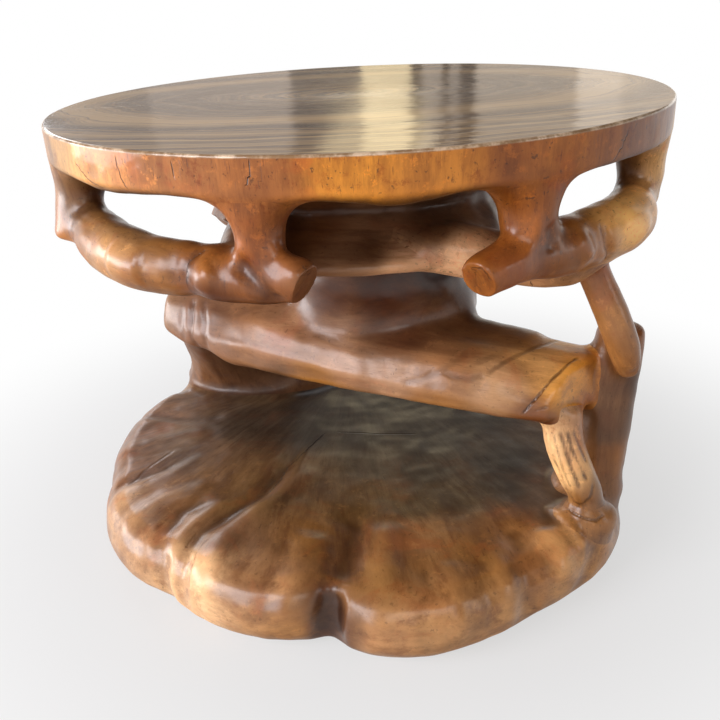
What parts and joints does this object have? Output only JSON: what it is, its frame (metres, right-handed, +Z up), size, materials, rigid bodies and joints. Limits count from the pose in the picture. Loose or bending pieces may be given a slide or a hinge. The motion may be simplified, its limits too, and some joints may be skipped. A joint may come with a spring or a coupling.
{
  "type": "side table",
  "caption": "Round side table carved from tree wood: a disc top on branch posts and a crown block, a leaning log, a rear trunk, a stump and struts on a lobed root slab.",
  "frame": {"origin": "on the floor, under the centre of the round top", "axes": "+Z up, +X to the right and +Y to the back as the table is seen from its front"},
  "size_m": [0.614, 0.6119, 0.455],
  "materials": {
    "top_wood": "gloss lacquer",
    "crown_wood": "gloss lacquer",
    "branch_wood": "gloss lacquer",
    "log_wood": "gloss lacquer",
    "slab_wood": "gloss lacquer",
    "dowel_wood": "bare"
  },
  "bodies": {
    "root": {"tabletop": "top_wood", "crown_block": "crown_wood", "front_left_post": "branch_wood", "front_right_post": "branch_wood", "left_post": "branch_wood", "right_post": "branch_wood", "rear_left_post": "branch_wood", "rear_right_post": "branch_wood", "left_limb": "branch_wood", "right_limb": "branch_wood", "left_arm": "branch_wood", "right_arm": "branch_wood", "rear_left_arm": "branch_wood", "rear_right_arm": "branch_wood", "leaning_log": "log_wood", "rear_trunk": "crown_wood", "right_stump": "crown_wood", "curved_strut": "branch_wood", "grooved_strut": "branch_wood", "collar_pad": "branch_wood", "root_slab": "slab_wood", "post_dowels": "dowel_wood", "crown_dowels": "dowel_wood", "limb_dowels": "dowel_wood", "arm_dowels": "dowel_wood", "log_dowels": "dowel_wood", "strut_dowels": "dowel_wood", "slab_dowels": "dowel_wood"}
  },
  "joints": []
}
